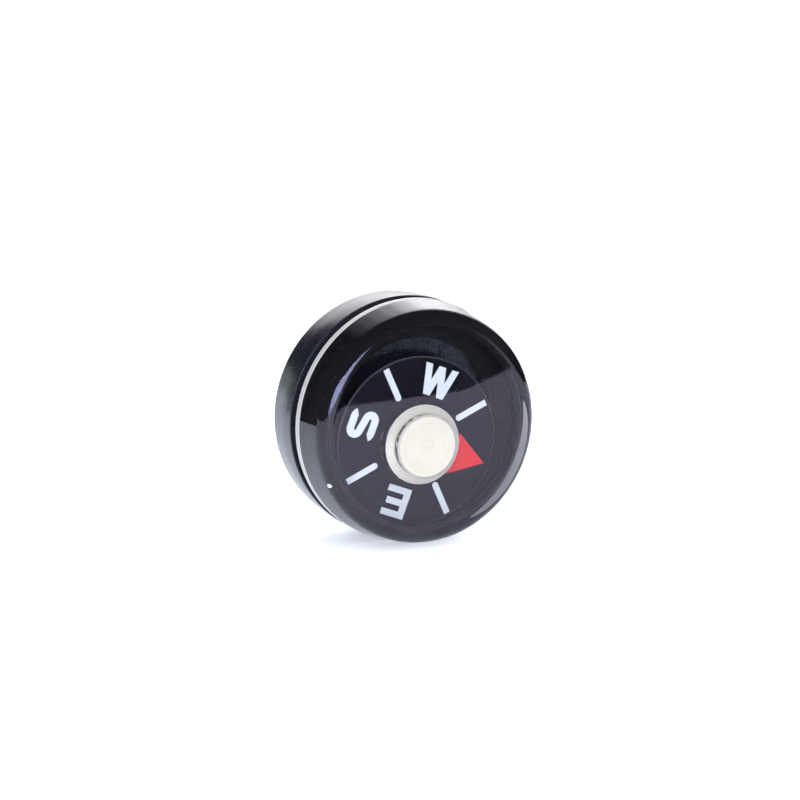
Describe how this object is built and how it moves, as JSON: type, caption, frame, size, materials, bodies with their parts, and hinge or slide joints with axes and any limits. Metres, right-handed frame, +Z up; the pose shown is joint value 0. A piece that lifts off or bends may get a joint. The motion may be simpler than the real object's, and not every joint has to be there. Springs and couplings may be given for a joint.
{
  "type": "button compass",
  "caption": "Small round compass capsule on its rim: clear cap over a turning card, black rear case and a waist groove to snap into a panel or strap.",
  "frame": {"origin": "bottom centre: on the floor under the middle of the rim that the compass stands on", "axes": "+Z up, the compass axis is level along Y, the face and its clear cap look to -Y, +X is to the right for someone who looks at the face"},
  "size_m": [0.02, 0.0098, 0.02],
  "materials": {
    "clear_plastic": "clear polished acrylic",
    "pale_nylon": "satin natural nylon",
    "case_black": "polished black moulding",
    "cup_black": "fine matt black moulding",
    "card_navy": "dark navy printed card",
    "print_white": "white ink",
    "print_red": "red ink",
    "nickel": "bright nickel plate on turned brass",
    "brass": "turned",
    "pivot_steel": "hardened and ground",
    "jewel_red": "polished synthetic jewel",
    "ferrite": "ground ferrite",
    "seal_rubber": "moulded nitrile"
  },
  "bodies": {
    "case": {"clear_cap": "clear_plastic", "pale_ring": "pale_nylon", "dial_cup": "cup_black", "case_body": "case_black", "rear_case": "case_black", "rear_o_ring": "seal_rubber", "diaphragm": "seal_rubber", "diaphragm_clamp": "brass", "filler_screw": "brass", "filler_washer": "seal_rubber", "pivot_post": "brass", "pivot_pin": "pivot_steel"},
    "card": {"card_disc": "card_navy", "card_letters": "print_white", "card_ticks": "print_white", "north_arrow": "print_red", "bearing_boss": "nickel", "cup_jewel": "jewel_red", "ring_magnet": "ferrite", "magnet_retainer": "brass"}
  },
  "joints": [
    {"name": "card_spin", "type": "hinge", "parent": "case", "child": "card", "pos_m": [0, -0.00135, 0.0084], "axis": [0, -1, 0], "continuous": true}
  ]
}
